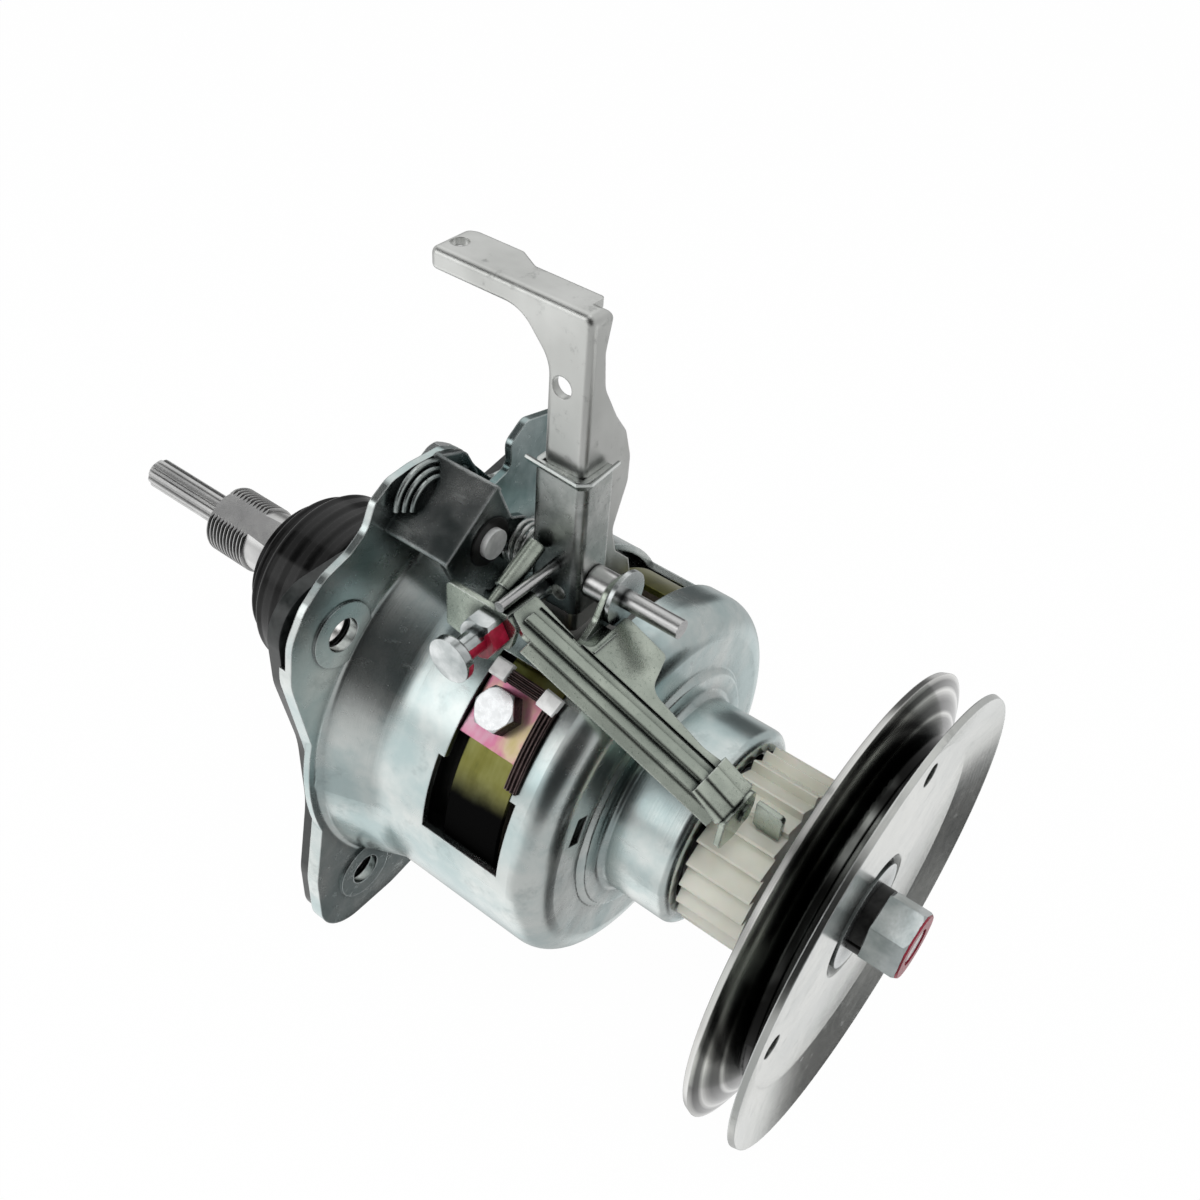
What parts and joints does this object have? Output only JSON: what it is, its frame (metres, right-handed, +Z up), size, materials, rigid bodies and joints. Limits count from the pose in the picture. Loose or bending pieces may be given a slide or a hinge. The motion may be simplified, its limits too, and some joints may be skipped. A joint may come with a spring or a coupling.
{
  "type": "washing machine clutch",
  "caption": "Reduction clutch for a washing machine: belt pulley, planetary gears, band brake with lever, ratchet and pawl, spin shaft and splined pulsator shaft.",
  "frame": {"origin": "centre of the flange bolt pattern, on the face that seats against the tub", "axes": "+X along the shafts towards the splined end, +Z up towards the brake lever's arm"},
  "size_m": [0.2788, 0.1248, 0.1939],
  "materials": {
    "zinc_steel": "bright zinc plate",
    "lever_steel": "satin",
    "grey_zinc": "satin",
    "band_zinc": "yellow zinc plate",
    "plate_zinc": "yellow zinc plate",
    "ground_steel": "ground",
    "dark_steel": "phosphated",
    "spring_steel": "bright",
    "black_steel": "blackened",
    "black_paint": "satin",
    "seal_rubber": "matte",
    "nylon": "matte",
    "lining": "matte",
    "sintered_bronze": "sintered"
  },
  "bodies": {
    "housing": {"drum_housing": "zinc_steel", "bearing_housing": "black_paint", "lower_bearing_outer_race": "ground_steel", "lower_bearing_balls": "ground_steel", "upper_bearing_outer_race": "ground_steel", "upper_bearing_balls": "ground_steel", "shaft_seal": "seal_rubber", "brake_lining": "lining", "brake_band": "band_zinc", "anchor_plate": "plate_zinc", "anchor_bolt": "zinc_steel", "pivot_pin": "ground_steel", "pivot_washer": "zinc_steel", "pivot_sleeve": "grey_zinc", "lever_spring": "spring_steel", "lever_bracket": "zinc_steel", "bracket_bush": "seal_rubber", "bracket_rivet": "zinc_steel", "bracket_bolts": "zinc_steel", "pivot_support": "zinc_steel"},
    "spin_shaft_set": {"spin_shaft": "ground_steel", "upper_shaft_bush": "sintered_bronze", "lower_shaft_bush": "sintered_bronze", "brake_drum": "dark_steel", "drum_cover": "dark_steel", "hub_bush": "sintered_bronze", "ring_gear": "dark_steel", "lower_bearing_inner_race": "ground_steel", "upper_bearing_inner_race": "ground_steel"},
    "pulley_set": {"input_shaft": "ground_steel", "sun_gear": "nylon", "clutch_bush": "ground_steel", "pulley_front": "zinc_steel", "pulley_rear": "zinc_steel", "hub_washer": "zinc_steel", "spring_washer": "black_steel", "pulley_nut": "zinc_steel"},
    "carrier_set": {"pulsator_shaft": "ground_steel", "planet_carrier": "dark_steel", "carrier_cover": "dark_steel", "planet_pins": "ground_steel"},
    "planet_1": {"planet_gear_1": "nylon"},
    "planet_2": {"planet_gear_2": "nylon"},
    "planet_3": {"planet_gear_3": "nylon"},
    "planet_4": {"planet_gear_4": "nylon"},
    "ratchet_set": {"ratchet_wheel": "nylon", "clutch_spring": "dark_steel"},
    "lever_set": {"brake_lever": "lever_steel", "lever_wrap": "lever_steel", "lever_cross_pin": "lever_steel"},
    "fork_set": {"pawl_fork": "grey_zinc", "pawl": "grey_zinc", "jack_screw": "zinc_steel", "jack_nut": "zinc_steel"}
  },
  "joints": [
    {"name": "spin_shaft_turn", "type": "hinge", "parent": "housing", "child": "spin_shaft_set", "pos_m": [0, 0, 0], "axis": [1, 0, 0], "continuous": true},
    {"name": "pulley_turn", "type": "hinge", "parent": "spin_shaft_set", "child": "pulley_set", "pos_m": [-0.13, 0, 0], "axis": [1, 0, 0], "continuous": true},
    {"name": "pulsator_turn", "type": "hinge", "parent": "spin_shaft_set", "child": "carrier_set", "pos_m": [0, 0, 0], "axis": [1, 0, 0], "continuous": true},
    {"name": "ratchet_turn", "type": "hinge", "parent": "spin_shaft_set", "child": "ratchet_set", "pos_m": [-0.105, 0, 0], "axis": [1, 0, 0], "range_deg": [0, 3], "stiffness_Nm_per_rad": 0.4, "springref_deg": -1.15},
    {"name": "lever_swing", "type": "hinge", "parent": "housing", "child": "lever_set", "pos_m": [-0.044, 0.0054, 0.0617], "axis": [1, 0, 0], "range_deg": [0, 14], "stiffness_Nm_per_rad": 0.9, "springref_deg": -20.05},
    {"name": "fork_swing", "type": "hinge", "parent": "housing", "child": "fork_set", "pos_m": [-0.0586, 0.0054, 0.0617], "axis": [1, 0, 0], "range_deg": [0, 10.5]},
    {"name": "planet_1_turn", "type": "hinge", "parent": "carrier_set", "child": "planet_1", "pos_m": [-0.048, 0.0192, 0], "axis": [1, 0, 0], "continuous": true},
    {"name": "planet_2_turn", "type": "hinge", "parent": "carrier_set", "child": "planet_2", "pos_m": [-0.048, 0, 0.0192], "axis": [1, 0, 0], "continuous": true},
    {"name": "planet_3_turn", "type": "hinge", "parent": "carrier_set", "child": "planet_3", "pos_m": [-0.048, -0.0192, 0], "axis": [1, 0, 0], "continuous": true},
    {"name": "planet_4_turn", "type": "hinge", "parent": "carrier_set", "child": "planet_4", "pos_m": [-0.048, 0, -0.0192], "axis": [1, 0, 0], "continuous": true}
  ],
  "couplings": [
    {"joint": "pulsator_turn", "follows": "pulley_turn", "ratio": 0.1875},
    {"joint": "fork_swing", "follows": "lever_swing", "ratio": 0.75},
    {"joint": "planet_1_turn", "follows": "pulley_turn", "ratio": -0.4875},
    {"joint": "planet_2_turn", "follows": "pulley_turn", "ratio": -0.4875},
    {"joint": "planet_3_turn", "follows": "pulley_turn", "ratio": -0.4875},
    {"joint": "planet_4_turn", "follows": "pulley_turn", "ratio": -0.4875}
  ]
}
